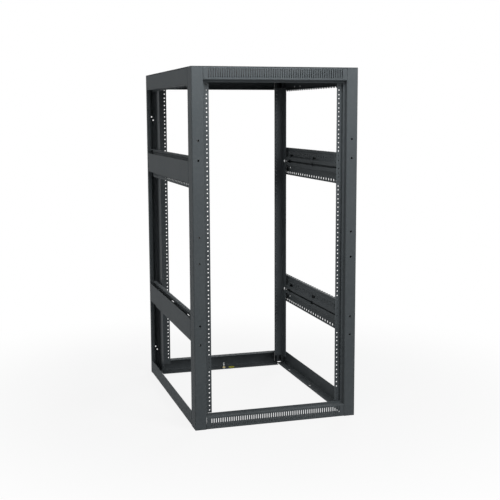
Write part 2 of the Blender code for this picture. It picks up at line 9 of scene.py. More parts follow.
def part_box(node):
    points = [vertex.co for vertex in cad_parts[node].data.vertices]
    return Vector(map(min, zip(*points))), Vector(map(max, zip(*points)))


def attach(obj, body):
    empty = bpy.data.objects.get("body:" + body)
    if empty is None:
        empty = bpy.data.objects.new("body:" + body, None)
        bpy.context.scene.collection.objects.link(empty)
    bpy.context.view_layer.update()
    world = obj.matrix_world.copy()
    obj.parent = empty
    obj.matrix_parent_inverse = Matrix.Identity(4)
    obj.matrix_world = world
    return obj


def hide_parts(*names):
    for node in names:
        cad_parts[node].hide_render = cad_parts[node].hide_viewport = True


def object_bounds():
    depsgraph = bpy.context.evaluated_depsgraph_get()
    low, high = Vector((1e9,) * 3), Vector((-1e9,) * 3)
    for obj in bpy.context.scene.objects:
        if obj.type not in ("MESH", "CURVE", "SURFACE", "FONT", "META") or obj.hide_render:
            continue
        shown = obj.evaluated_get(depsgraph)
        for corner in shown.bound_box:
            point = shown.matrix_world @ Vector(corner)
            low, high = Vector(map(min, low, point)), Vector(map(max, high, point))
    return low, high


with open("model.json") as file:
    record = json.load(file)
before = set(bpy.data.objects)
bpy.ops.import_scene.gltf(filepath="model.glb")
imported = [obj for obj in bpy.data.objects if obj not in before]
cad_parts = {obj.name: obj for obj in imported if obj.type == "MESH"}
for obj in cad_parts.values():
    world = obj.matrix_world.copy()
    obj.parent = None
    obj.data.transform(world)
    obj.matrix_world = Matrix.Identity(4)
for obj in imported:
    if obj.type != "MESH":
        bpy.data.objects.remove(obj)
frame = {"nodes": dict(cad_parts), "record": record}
cabinet_low, cabinet_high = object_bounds()

# ---------------------------------------------------------------------------
# Shader writing
# ---------------------------------------------------------------------------


class Signal:
    """The output of a node, or a number or colour, that takes part in arithmetic."""

    def __init__(self, network, source):
        self.network = network
        self.source = source

    def maths(self, operation, *values):
        return self.network.node("ShaderNodeMath", {"operation": operation}, *values)

    def __add__(self, other):
        return self.maths("ADD", self, other)

    def __radd__(self, other):
        return self.maths("ADD", other, self)

    def __sub__(self, other):
        return self.maths("SUBTRACT", self, other)

    def __rsub__(self, other):
        return self.maths("SUBTRACT", other, self)

    def __mul__(self, other):
        return self.maths("MULTIPLY", self, other)

    def __rmul__(self, other):
        return self.maths("MULTIPLY", other, self)

    def clipped(self):
        """Held between 0 and 1."""
        return self.network.node("ShaderNodeClamp", {}, self)

    def ramp(self, low, high):
        """0 at low, 1 at high, smooth between."""
        settings = {"interpolation_type": "SMOOTHSTEP"}
        return self.network.node("ShaderNodeMapRange", settings, self, low, high, 0.0, 1.0)


class Network:
    """A node tree that is written as expressions."""

    def __init__(self, tree):
        self.tree = tree

    def node(self, kind, settings, *values, output=0, **named):
        """Add a node with its settings and the values or links of its sockets."""
        made = self.tree.nodes.new(kind)
        for setting, value in settings.items():
            setattr(made, setting, value)
        for socket, value in list(enumerate(values)) + list(named.items()):
            if isinstance(socket, str):
                socket = socket.replace("_", " ")
            self.feed(made.inputs[socket], value)
        return Signal(self, made.outputs[output])

    def feed(self, socket, value):
        if isinstance(value, Signal):
            self.tree.links.new(value.source, socket)
        elif isinstance(value, tuple) and len(value) == 3 and socket.type == "RGBA":
            socket.default_value = (*value, 1.0)
        else:
            socket.default_value = value

    def in_view(self):
        """1 for what is seen, straight, in gloss or through glass, and 0 for light that falls."""
        rays = ("Is Camera Ray", "Is Glossy Ray", "Is Transmission Ray")
        seen, glossed, passed = [self.node("ShaderNodeLightPath", {}, output=ray) for ray in rays]
        return (seen + glossed + passed).clipped()


class Finish(Network):
    """A material whose surface is written as expressions."""

    def __init__(self, name):
        self.material = bpy.data.materials.new(name)
        self.material.use_nodes = True
        super().__init__(self.material.node_tree)
        self.shader = self.tree.nodes["Principled BSDF"]
        self.place = self.node("ShaderNodeTexCoord", {}, output="Object")

    def noise(self, size, detail=2.0, roughness=0.5, stretch=(1.0, 1.0, 1.0)):
        """Noise whose lumps are about size across, from 0 to 1."""
        spread = self.node("ShaderNodeVectorMath", {"operation": "MULTIPLY"},
                           self.place, stretch)
        return self.node("ShaderNodeTexNoise", {}, Vector=spread, Scale=1.0 / size,
                         Detail=detail, Roughness=roughness)

    def blend(self, factor, first, second):
        """Mix two colours."""
        return self.node("ShaderNodeMix", {"data_type": "RGBA"}, Factor=factor, A=first, B=second,
                         output="Result")

    def relief(self, height, depth, strength):
        """A bump whose full height is depth."""
        return self.node("ShaderNodeBump", {}, Height=height, Distance=depth, Strength=strength)

    def facing_up(self):
        """1 on level faces that look up, 0 on upright ones."""
        normal = self.node("ShaderNodeNewGeometry", {}, output="Normal")
        up = self.node("ShaderNodeVectorMath", {"operation": "DOT_PRODUCT"},
                       normal, (0.0, 0.0, 1.0), output="Value")
        return up.ramp(0.6, 0.95)

    def surface(self, **sockets):
        """Feed the surface's sockets and give back the material."""
        for name, value in sockets.items():
            self.feed(self.shader.inputs[name.replace("_", " ")], value)
        return self.material


# ---------------------------------------------------------------------------
# Finishes
# ---------------------------------------------------------------------------


def powder_coat():
    """Blue-grey black powder coat with a fine sandy grain, faint rubs and a little dust."""
    paint = Finish("powder_coat")
    cloud = paint.noise(0.16, 3.0)
    mottle = paint.noise(0.011, 2.0)
    grain = paint.noise(0.0011, 3.0, 0.6)
    rubs = paint.noise(0.0060, 4.0, 0.7, stretch=(1.0, 1.0, 0.12)).ramp(0.60, 0.78)
    tone = paint.blend(cloud.ramp(0.3, 0.7), (0.060, 0.069, 0.074), (0.068, 0.077, 0.082))
    tone = paint.blend(mottle.ramp(0.35, 0.75) * 0.35, tone, (0.080, 0.090, 0.095))
    tone = paint.blend(grain.ramp(0.55, 0.8) * 0.5, tone, (0.100, 0.110, 0.115))
    tone = paint.blend(rubs * 0.12, tone, (0.130, 0.140, 0.145))
    dust = paint.facing_up() * mottle.ramp(0.3, 0.8)
    tone = paint.blend(dust * 0.10, tone, (0.300, 0.300, 0.290))
    bump = paint.relief(grain + 0.5 * mottle, 0.00025, 0.35)
    return paint.surface(Base_Color=tone, Roughness=0.58 + 0.10 * mottle - 0.08 * rubs,
                         Specular_IOR_Level=0.07, Normal=bump)


def satin_black():
    """Smooth satin black of the rack rails, a little polished by the equipment."""
    paint = Finish("satin_black")
    cloud = paint.noise(0.09, 2.0, stretch=(1.0, 1.0, 0.3))
    grain = paint.noise(0.0007, 2.0)
    rubs = paint.noise(0.0040, 4.0, 0.7, stretch=(0.2, 1.0, 1.0)).ramp(0.58, 0.76)
    tone = paint.blend(cloud.ramp(0.3, 0.7), (0.054, 0.062, 0.067), (0.063, 0.072, 0.077))
    tone = paint.blend(rubs * 0.20, tone, (0.110, 0.116, 0.120))
    bump = paint.relief(grain - 0.3 * rubs, 0.0001, 0.2)
    return paint.surface(Base_Color=tone, Roughness=0.42 + 0.10 * cloud - 0.08 * rubs,
                         Specular_IOR_Level=0.10, Normal=bump)


def zinc_plate():
    """Bright zinc plate with tool marks and a trace of white bloom."""
    paint = Finish("zinc_plate")
    cloud = paint.noise(0.004, 2.0)
    marks = paint.noise(0.0008, 3.0, 0.6)
    bloom = paint.noise(0.0025, 4.0, 0.6).ramp(0.55, 0.75)
    tone = paint.blend(cloud, (0.52, 0.53, 0.55), (0.66, 0.66, 0.64))
    tone = paint.blend(bloom * 0.3, tone, (0.76, 0.77, 0.76))
    bump = paint.relief(marks, 0.00008, 0.3)
    return paint.surface(Base_Color=tone, Roughness=0.24 + 0.16 * cloud + 0.15 * bloom,
                         Metallic=1.0 - 0.3 * bloom, Normal=bump)


def yellow_zinc():
    """Yellow passivated zinc, with a faint green and red play of colour."""
    paint = Finish("yellow_zinc")
    cloud = paint.noise(0.006, 2.0)
    flush = paint.noise(0.0025, 3.0)
    marks = paint.noise(0.0008, 3.0, 0.6)
    tone = paint.blend(cloud.ramp(0.3, 0.7), (0.60, 0.44, 0.14), (0.55, 0.50, 0.24))
    tone = paint.blend(flush.ramp(0.5, 0.75) * 0.35, tone, (0.62, 0.34, 0.22))
    bump = paint.relief(marks, 0.00008, 0.3)
    return paint.surface(Base_Color=tone, Roughness=0.28 + 0.16 * cloud, Metallic=1.0,
                         Normal=bump)


def yellow_vinyl():
    """Plain yellow vinyl, slightly rippled and soiled."""
    paint = Finish("yellow_vinyl")
    cloud = paint.noise(0.008, 2.0)
    ripple = paint.noise(0.004, 2.0)
    soil = paint.noise(0.0016, 4.0, 0.65).ramp(0.56, 0.78)
    tone = paint.blend(cloud.ramp(0.3, 0.7), (0.56, 0.54, 0.045), (0.62, 0.60, 0.070))
    tone = paint.blend(soil * 0.30, tone, (0.24, 0.22, 0.06))
    bump = paint.relief(ripple, 0.0002, 0.4)
    return paint.surface(Base_Color=tone, Roughness=0.40 + 0.12 * cloud + 0.1 * soil,
                         Normal=bump)


FINISHES = {
    "textured_black_paint": powder_coat(),
    "rack_rail_paint": satin_black(),
    "zinc_plated_steel": zinc_plate(),
    "yellow_zinc_steel": yellow_zinc(),
    "yellow_vinyl": yellow_vinyl(),
}
NODE_SLOTS = {part["node"]: part["material_slot"] for part in frame["record"]["subparts"]}

for name, piece in frame["nodes"].items():
    piece.data.materials.clear()
    piece.data.materials.append(FINISHES[NODE_SLOTS[name]])

# ---------------------------------------------------------------------------
# Sheet metal work
# ---------------------------------------------------------------------------

SHEET = 0.0020
BEND = 0.0015                  # inside radius of every bend
GAP = 0.0003                   # left between pieces that seat on each other
WELD = 0.0002                  # overlap where a square end meets a rounded corner
ROUND = 16                     # sides of a punched round hole
THROUGH = 0.012                # length of a punch that goes through one wall
SHALLOW = 0.010                # the same, where another wall lies close behind
BROKEN_EDGE = 0.0004           # rounding of a flat sheet's edges
SHARP = math.radians(30)       # edges that turn more than this stay crisp


def folded(corners, start, end, place):
    """The face of a folded sheet: a line of corners with round bends, drawn out along them.

    The sheet lies on the line's left, and place turns (u, v, w) into a point,
    u and v in the line's plane and w along the bends.
    """
    edit = bmesh.new()
    corners = [Vector(corner) for corner in corners]
    points = [edit.verts.new(place(u, v, start)) for u, v in corners]
    for one, two in zip(points, points[1:]):
        edit.edges.new((one, two))
    for index in range(1, len(corners) - 1):
        before = corners[index] - corners[index - 1]
        after = corners[index + 1] - corners[index]
        radius = BEND + SHEET if before.cross(after) > 0 else BEND
        reach = radius * math.tan(before.angle(after) / 2)
        bmesh.ops.bevel(edit, geom=[points[index]], offset=reach, affect="VERTICES", segments=5,
                        profile=0.5, material=-1)
    drawn = bmesh.ops.extrude_edge_only(edit, edges=edit.edges[:])["geom"]
    far = [item for item in drawn if isinstance(item, bmesh.types.BMVert)]
    bmesh.ops.translate(edit, verts=far, vec=place(0, 0, end) - place(0, 0, start))
    bmesh.ops.recalc_face_normals(edit, faces=edit.faces)
    # the face looks away from the sheet's thickness
    run = (corners[1] - corners[0]).normalized()
    left = place(-run.y, run.x, 0) - place(0, 0, 0)
    middle = place(*((corners[0] + corners[1]) / 2), (start + end) / 2)
    first = min(edit.faces, key=lambda face: (face.calc_center_median() - middle).length)
    first.normal_update()
    if first.normal.dot(left) > 0:
        bmesh.ops.reverse_faces(edit, faces=edit.faces)
    return edit


def upright(side):
    """Place for a line across the cabinet, drawn up: (x from the middle, y, z)."""
    return lambda u, v, w: Vector((side * u, v, w))


def along_side(side):
    """Place for a line in a side's section, drawn back: (x from the middle, z, y)."""
    return lambda u, v, w: Vector((side * u, w, v))


def along_width(u, v, w):
    """Place for a line in the cabinet's long section, drawn across: (y, z, x)."""
    return Vector((w, u, v))


def round_punch(punches, centre, axis, diameter, reach=THROUGH, sides=ROUND):
    """A round punch through centre along axis."""
    turn = Vector(axis).to_track_quat("Z", "Y").to_matrix().to_4x4()
    return bmesh.ops.create_cone(punches, cap_ends=True, segments=sides, radius1=diameter / 2,
                                 radius2=diameter / 2, depth=reach,
                                 matrix=Matrix.Translation(centre) @ turn)["verts"]


def slot_punch(punches, centre, axis, along, length, width, reach=THROUGH, sides=12):
    """A punch for a slot with round ends."""
    along = Vector(along)
    verts = round_punch(punches, centre, axis, width, reach, sides)
    turn = Matrix.Rotation(math.pi / sides, 3, Vector(axis))
    bmesh.ops.rotate(punches, verts=verts, cent=centre, matrix=turn)
    half = along * ((length - width) / 2)
    for sign in (1, -1):
        end = [vert for vert in verts if sign * (vert.co - Vector(centre)).dot(along) > 0]
        bmesh.ops.translate(punches, verts=end, vec=sign * half)


def block(edit, centre, size):
    """A box of a size about a centre."""
    return bmesh.ops.create_cube(edit, size=1.0, matrix=Matrix.Translation(centre)
                                 @ Matrix.Diagonal((*size, 1.0)))


def box_punch(punches, low, high):
    """A square punch between two corners."""
    low, high = Vector(low), Vector(high)
    block(punches, (low + high) / 2, [abs(length) for length in high - low])


def mesh_object(name, edit):
    """An object that takes over a bmesh."""
    mesh = bpy.data.meshes.new(name)
    edit.to_mesh(mesh)
    edit.free()
    made = bpy.data.objects.new(name, mesh)
    bpy.context.scene.collection.objects.link(made)
    return made


def pressed(face, *sets_of_punches, thickness=SHEET):
    """Give a folded face its thickness and punch it, as one closed mesh."""
    blank = mesh_object("blank", face)
    if thickness:
        wall = blank.modifiers.new("thickness", "SOLIDIFY")
        wall.thickness = thickness
        wall.offset = -1.0
        wall.use_even_offset = True
    tools = []
    for punches in sets_of_punches:
        tools.append(mesh_object("punches", punches))
        punch = blank.modifiers.new("punch", "BOOLEAN")
        punch.operation = "DIFFERENCE"
        punch.solver = "EXACT"
        punch.object = tools[-1]
    shaped = blank.evaluated_get(bpy.context.evaluated_depsgraph_get())
    edit = bmesh.new()
    edit.from_mesh(shaped.to_mesh())
    shaped.to_mesh_clear()
    for used in [blank, *tools]:
        bpy.data.objects.remove(used, do_unlink=True)
    bmesh.ops.remove_doubles(edit, verts=edit.verts, dist=1e-6)
    bmesh.ops.dissolve_limit(edit, angle_limit=math.radians(0.5), verts=edit.verts,
                             edges=edit.edges)
    return edit


def moved(edit, offset):
    """A copy shifted by offset."""
    copy = edit.copy()
    bmesh.ops.translate(copy, verts=copy.verts, vec=offset)
    return copy


def mirrored(edit, across):
    """A copy mirrored in the plane through the origin that looks along an axis, 0 x or 1 y."""
    copy = edit.copy()
    factors = [1.0, 1.0, 1.0]
    factors[across] = -1.0
    bmesh.ops.scale(copy, vec=factors, verts=copy.verts)
    bmesh.ops.reverse_faces(copy, faces=copy.faces)
    return copy


def fitted(name, edit, slot, body, *nodes, edge=0.0):
    """Fit a shape as a piece of the cabinet, in place of nodes."""
    piece = mesh_object(name, edit)
    piece.data.shade_smooth()
    piece.data.set_sharp_from_angle(angle=SHARP)
    if edge:
        rounding = piece.modifiers.new("edges", "BEVEL")
        rounding.width = edge
        rounding.segments = 2
        rounding.limit_method = "ANGLE"
        rounding.angle_limit = SHARP
    flat = piece.modifiers.new("flat faces", "WEIGHTED_NORMAL")
    flat.keep_sharp = True
    flat.weight = 100
    piece.data.materials.append(FINISHES[slot])
    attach(piece, body)
    if nodes:
        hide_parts(*nodes)


def on_both_sides(name, right, node):
    """Fit a painted right-hand shape and its mirror image. The node has {} for its side."""
    fitted(f"left_{name}", mirrored(right, 0), "textured_black_paint", "cabinet",
           node.format("left"))
    fitted(f"right_{name}", right, "textured_black_paint", "cabinet", node.format("right"))


def places(first, last, pitch):
    """Places a pitch apart, centred between two ends."""
    count = math.floor((last - first) / pitch + 1e-6) + 1
    start = (first + last - (count - 1) * pitch) / 2
    return [start + index * pitch for index in range(count)]


# ---------------------------------------------------------------------------
# Sizes
# ---------------------------------------------------------------------------

HALF_WIDTH = cabinet_high[0]
FRONT = cabinet_low[1]
REAR = cabinet_high[1]
HEIGHT = cabinet_high[2]
SIDES = {"left": -1, "right": 1}

front_post_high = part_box("front_left_post")[1]
rear_post_low, rear_post_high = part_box("rear_left_post")
OPENING = -front_post_high[0]              # half the width between the lips
POST_BACK = front_post_high[1]             # rear of a front post
POST_INNER = -rear_post_high[0]            # jamb of a post
REAR_POST_SIDE = 0.020                     # depth of a rear post's side wall
REAR_POST_FRONT = REAR - REAR_POST_SIDE
TOP_FLANGE_FRONT = rear_post_low[1]        # front of the flange over the back
FRAME_TOP = front_post_high[2]
FASCIA_FACE = 0.044
LIP_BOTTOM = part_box("bottom_fascia")[1][2]
LIP_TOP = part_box("top_fascia")[0][2]
JAMB_RETURN = 0.018                        # how far the front opening's jamb goes back
REAR_JAMB = 0.038                          # how far the rear opening's jamb comes forward
POST_RETURN = 0.015                        # flange turned in at a side wall's inner edge
HEM_FACE = HALF_WIDTH - POST_RETURN        # face of the hems that the brace plates lap
POST_HEM = 0.014
SIDE_FROM = POST_BACK + GAP
SIDE_TO = REAR_POST_FRONT - GAP
BRACES = {"lower": 0.340, "upper": 0.872}  # heights of the braces' middles

HINGE_HOLE = 0.0072
HINGE_INSET = 0.0205           # from the cabinet's side to the column of holes
HINGE_HEIGHTS = (0.2946, 0.3595, 0.5700, 0.6580, 0.9110, 0.9760)
VENT_SLOT = (0.0305, 0.0030)
VENT_PITCH = 0.00787
VENT_MARGIN = 0.014            # from a fascia's end to the first slot
VENT_EDGE = 0.0065             # from the fascia's outer edge to the slots
REAR_HOLE = 0.0052
REAR_HOLE_SPREAD = 0.0065      # from the middle of a group of three
REAR_HOLE_HEIGHTS = (0.100, 1.046)
LACING_PITCH = 0.0254
NOTCH = 0.0130                 # width of a lacing notch along a hem
TOP_RAIL_FACE = 0.058
TOP_RAIL_FLANGE = 0.040
TOP_RAIL_RETURN = 0.022
COMB_TRIM = 0.0025             # taken off the lower edge of the hem
FLOOR_FLANGE = 0.035
FLOOR_HOLE = 0.0110
FLOOR_HOLE_INSET = 0.023       # from the cabinet's side
FLOOR_HOLES = (-0.245, 0.0, 0.245)
REAR_TOP_RETURN = 0.030
REAR_FLOOR_FLANGE = 0.057
REAR_SHELF = 0.033
SHELF_SLOT = (0.0098, 0.0070)
SHELF_PITCH = 0.0235

# ---------------------------------------------------------------------------
# Frame
# ---------------------------------------------------------------------------


def front_posts():
    """The two front corner posts, with the jamb and lip of the front opening."""
    lip = FRONT + JAMB_RETURN
    corners = [(OPENING, lip), (POST_INNER, lip), (POST_INNER, FRONT), (HALF_WIDTH, FRONT),
               (HALF_WIDTH, POST_BACK), (HEM_FACE, POST_BACK), (HEM_FACE, POST_BACK - POST_HEM)]
    punches = bmesh.new()
    for low, high in ((-GAP, LIP_BOTTOM + GAP), (LIP_TOP - GAP, HEIGHT)):
        box_punch(punches, (OPENING - GAP, lip - BEND, low),
                  (POST_INNER + SHEET + GAP, lip + SHEET + GAP, high))
    for height in HINGE_HEIGHTS:
        round_punch(punches, (HALF_WIDTH - HINGE_INSET, FRONT, height), (0, 1, 0), HINGE_HOLE)
    right = pressed(folded(corners, 0.0, FRAME_TOP, upright(1)), punches)
    on_both_sides("front_post", right, "front_{}_post")


def rear_posts():
    """The two rear corner posts, with their groups of three holes."""
    corners = [(HEM_FACE, REAR_POST_FRONT + POST_HEM), (HEM_FACE, REAR_POST_FRONT),
               (HALF_WIDTH, REAR_POST_FRONT), (HALF_WIDTH, REAR), (POST_INNER, REAR),
               (POST_INNER, REAR - REAR_JAMB)]
    middle = (HALF_WIDTH + POST_INNER) / 2
    punches = bmesh.new()
    for height in REAR_HOLE_HEIGHTS:
        for across, up in ((-1, -1), (1, -1), (0, 1)):
            centre = (middle + across * REAR_HOLE_SPREAD, REAR, height + up * REAR_HOLE_SPREAD)
            round_punch(punches, centre, (0, 1, 0), REAR_HOLE)
    right = pressed(folded(corners, 0.0, FRAME_TOP, upright(1)), punches)
    on_both_sides("rear_post", right, "rear_{}_post")


def fascia(name, node, corners, vent_middle):
    """A front fascia with its strip of vent slots."""
    punches = bmesh.new()
    for place in places(VENT_MARGIN - POST_INNER, POST_INNER - VENT_MARGIN, VENT_PITCH):
        slot_punch(punches, (place, FRONT, vent_middle), (0, 1, 0), (0, 0, 1), *VENT_SLOT,
                   sides=8)
    sheet = folded(corners, GAP - POST_INNER, POST_INNER - GAP, along_width)
    fitted(name, pressed(sheet, punches), "textured_black_paint", "cabinet", node)


def fascias():
    """The fascias over and under the front opening."""
    lip = FRONT + JAMB_RETURN
    lower = HEIGHT - FASCIA_FACE
    reach = VENT_EDGE + VENT_SLOT[0] / 2
    fascia("upper_fascia", "top_fascia",
           [(POST_BACK, FRAME_TOP), (FRONT, FRAME_TOP), (FRONT, lower), (lip, lower),
            (lip, LIP_TOP)], HEIGHT - reach)
    fascia("lower_fascia", "bottom_fascia",
           [(lip, LIP_BOTTOM), (lip, FASCIA_FACE), (FRONT, FASCIA_FACE), (FRONT, 0.0),
            (POST_BACK, 0.0)], reach)


def side_rails():
    """The rails along the top and the floor of both sides."""
    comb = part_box("top_left_rail")[0][2] + COMB_TRIM
    lower = HEIGHT - TOP_RAIL_FACE
    hem = HALF_WIDTH - TOP_RAIL_RETURN
    corners = [(hem, comb), (hem, lower), (HALF_WIDTH, lower), (HALF_WIDTH, FRAME_TOP),
               (HALF_WIDTH - TOP_RAIL_FLANGE, FRAME_TOP)]
    notches = bmesh.new()
    for place in places(SIDE_FROM + NOTCH, SIDE_TO - NOTCH, LACING_PITCH):
        box_punch(notches, (hem - 2 * SHEET, place - NOTCH / 2, comb - SHEET),
                  (hem + 2 * SHEET, place + NOTCH / 2, lower - SHEET / 2))
    right = pressed(folded(corners, SIDE_FROM, SIDE_TO, along_side(1)), notches)
    on_both_sides("top_rail", right, "top_{}_rail")

    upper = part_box("bottom_left_rail")[1][2]
    corners = [(HALF_WIDTH - FLOOR_FLANGE, 0.0), (HALF_WIDTH, 0.0), (HALF_WIDTH, upper)]
    holes = bmesh.new()
    for place in FLOOR_HOLES:
        round_punch(holes, (HALF_WIDTH - FLOOR_HOLE_INSET, place, 0.0), (0, 0, 1), FLOOR_HOLE)
    right = pressed(folded(corners, SIDE_FROM, SIDE_TO, along_side(1)), holes)
    on_both_sides("floor_rail", right, "bottom_{}_rail")


def rear_rails():
    """The rails across the top and the floor of the back."""
    reach = POST_INNER + WELD                  # the ends close the posts' rounded corners
    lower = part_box("top_rear_rail")[0][2]
    corners = [(REAR - REAR_TOP_RETURN, lower), (REAR, lower), (REAR, FRAME_TOP),
               (TOP_FLANGE_FRONT, FRAME_TOP)]
    fitted("rear_top_rail", pressed(folded(corners, -reach, reach, along_width)),
           "textured_black_paint", "cabinet", "top_rear_rail")

    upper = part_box("bottom_rear_rail")[1][2]
    corners = [(REAR - REAR_FLOOR_FLANGE, 0.0), (REAR, 0.0), (REAR, upper),
               (REAR - REAR_SHELF, upper)]
    holes = bmesh.new()
    row = POST_INNER - SHELF_PITCH / 2
    for place in places(-row, row, SHELF_PITCH):
        slot_punch(holes, (place, REAR - REAR_SHELF / 2, upper), (0, 0, 1), (1, 0, 0), *SHELF_SLOT)
    fitted("rear_floor_rail", pressed(folded(corners, -reach, reach, along_width), holes),
           "textured_black_paint", "cabinet", "bottom_rear_rail")


def lid():
    """The flat lid, whose corners follow the posts' bends."""
    edit = bmesh.new()
    block(edit, (0, 0, HEIGHT - SHEET / 2), (2 * HALF_WIDTH, REAR - FRONT, SHEET))
    corners = [edge for edge in edit.edges
               if abs(edge.verts[0].co.z - edge.verts[1].co.z) > SHEET / 2]
    bmesh.ops.bevel(edit, geom=corners, offset=BEND + SHEET, affect="EDGES", segments=5,
                    profile=0.5, material=-1)
    fitted("lid", edit, "textured_black_paint", "cabinet", "top_panel", edge=BROKEN_EDGE)


# ---------------------------------------------------------------------------
# Side braces
# ---------------------------------------------------------------------------

PLATE_FACE = HEM_FACE - GAP - SHEET
PLATE_EDGE = HALF_WIDTH - SHEET - GAP
PLATE_TOP = 0.053              # heights here are over the brace's middle
PLATE_BOTTOM = -0.057
PLATE_MARGIN = 0.024           # from a plate's end to its first lip hole
JOGGLE = 0.041
JOGGLE_DEPTH = 0.003
NOTCH_DEPTH = 0.007            # of the notches in the top flange
RAIL_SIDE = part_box("front_right_rack_rail")[1][0]      # outer face of a rack rail
RIDGE_FACE = RAIL_SIDE + GAP
RIDGE = 0.017                  # half the height of the ridge
RIDGE_SLOPE = 0.0045
LIP_HOLE = (0.0120, 0.0095)
LIP_HOLE_HEIGHT = -0.047
STATION = 0.0295               # from the middle to the middle keyhole
STATION_SPACING = 0.260
RAIL_SLOT = 0.0070
SLOT_END = 0.0050              # from a rail bolt's last place to the slot's end
KEYHOLE = (0.0240, 0.0150)
ACCESS_HOLE = (0.0400, 0.0110)
ACCESS_HEIGHT = 0.0225
LACING_SLOT = (0.0140, 0.0050)
LACING_HEIGHT = 0.0295
LACING_STEP = 0.0245
LACING_STEPS = range(-14, 17)  # more than fit: those between the margins are made
LACING_MARGIN = 0.020          # from a post to the first lacing slot


def covers():
    """The flat strips that close the braces on the outside."""
    for level, middle in BRACES.items():
        low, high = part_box(f"{level}_right_cover")
        size = (high[0] - low[0], SIDE_TO - SIDE_FROM, high[2] - low[2])
        for side_name, side in SIDES.items():
            edit = bmesh.new()
            block(edit, (side * (low[0] + high[0]) / 2, (SIDE_FROM + SIDE_TO) / 2, middle), size)
            fitted(f"{side_name}_{level}_strip", edit, "textured_black_paint", "cabinet",
                   f"{level}_{side_name}_cover", edge=BROKEN_EDGE)


def brace_plates():
    """The ribbed plates behind the covers: one part, turned end for end on the other side."""
    band = PLATE_FACE - JOGGLE_DEPTH
    corners = [(PLATE_EDGE, PLATE_TOP), (PLATE_FACE, PLATE_TOP),
               (PLATE_FACE, JOGGLE + JOGGLE_DEPTH), (band, JOGGLE), (band, RIDGE + RIDGE_SLOPE),
               (RIDGE_FACE, RIDGE), (RIDGE_FACE, -RIDGE), (PLATE_FACE, -RIDGE - RIDGE_SLOPE),
               (PLATE_FACE, PLATE_BOTTOM)]
    start, end = SIDE_FROM - GAP - POST_HEM, SIDE_TO + GAP + POST_HEM
    stations = [index * STATION_SPACING - STATION for index in (-1, 0, 1)]
    long_slot, keyholes, holes = bmesh.new(), bmesh.new(), bmesh.new()
    # the flange stops between the posts
    for low, high in ((start - GAP, SIDE_FROM), (SIDE_TO, end + GAP)):
        box_punch(holes, (PLATE_FACE - GAP, low, PLATE_TOP - BEND - SHEET),
                  (PLATE_EDGE + GAP, high, PLATE_TOP + GAP))
    for place in places(SIDE_FROM + NOTCH, SIDE_TO - NOTCH, LACING_PITCH):
        box_punch(holes, (PLATE_EDGE - NOTCH_DEPTH, place - NOTCH / 2, PLATE_TOP - 2 * SHEET),
                  (PLATE_EDGE + SHEET, place + NOTCH / 2, PLATE_TOP + SHEET))
    for place in places(start + PLATE_MARGIN, end - PLATE_MARGIN, LACING_PITCH):
        slot_punch(holes, (PLATE_FACE, place, LIP_HOLE_HEIGHT), (1, 0, 0), (0, 1, 0), *LIP_HOLE)
    for step in LACING_STEPS:
        place = step * LACING_STEP - STATION
        clear = min(abs(place - station) for station in stations)
        between_posts = SIDE_FROM + LACING_MARGIN < place < SIDE_TO - LACING_MARGIN
        if between_posts and clear > ACCESS_HOLE[0] / 2:
            slot_punch(holes, (band, place, LACING_HEIGHT), (1, 0, 0), (0, 0, 1), *LACING_SLOT,
                       reach=SHALLOW, sides=8)
    for station in stations:
        slot_punch(holes, (band, station, ACCESS_HEIGHT), (1, 0, 0), (0, 1, 0), *ACCESS_HOLE,
                   reach=SHALLOW)
        slot_punch(keyholes, (RIDGE_FACE, station, 0.0), (1, 0, 0), (0, 1, 0), *KEYHOLE)
    middle = (BOLT_PLACE["front"] + BOLT_PLACE["rear"]) / 2
    length = BOLT_PLACE["rear"] - BOLT_PLACE["front"] + 2 * SLOT_END
    slot_punch(long_slot, (RIDGE_FACE, middle, 0.0), (1, 0, 0), (0, 1, 0), length, RAIL_SLOT)
    right = pressed(folded(corners, start, end, along_side(1)), holes, keyholes, long_slot)
    left = mirrored(mirrored(right, 0), 1)
    for level, middle in BRACES.items():
        for side_name, plate in (("left", left), ("right", right)):
            fitted(f"{side_name}_{level}_brace", moved(plate, (0, 0, middle)),
                   "textured_black_paint", "cabinet", f"{level}_{side_name}_plate")
    left.free()
    right.free()


# ---------------------------------------------------------------------------
# Rack rails
# ---------------------------------------------------------------------------

RACK_UNIT = 0.04445
UNITS = 25
UNIT_HOLES = (0.00635, 0.02223, 0.0381)
PANEL_HOLE = 0.0048
HOLE_COLUMN = 0.23255          # from the middle to a column of panel holes
RAIL_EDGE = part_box("front_right_rack_rail")[0][0]      # free edge beside the holes
RAIL_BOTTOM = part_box("front_right_rack_rail")[0][2]
RAIL_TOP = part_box("front_right_rack_rail")[1][2]
FIRST_UNIT = (RAIL_BOTTOM + RAIL_TOP - UNITS * RACK_UNIT) / 2
RAIL_WALL = 0.042
RAIL_FACE = {"front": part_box("front_right_rack_rail")[0][1],
             "rear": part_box("rear_right_rack_rail")[1][1]}
INWARD = {"front": 1, "rear": -1}
BOLT_SETBACK = 0.030           # from a rail's face to its bolts
BOLT_PLACE = {end: RAIL_FACE[end] + INWARD[end] * BOLT_SETBACK for end in INWARD}
BOLT_HOLE = 0.0076
SIDE_HOLE = 0.0042
SIDE_HOLE_SETBACK = 0.022      # from a rail's face to the holes in its side wall


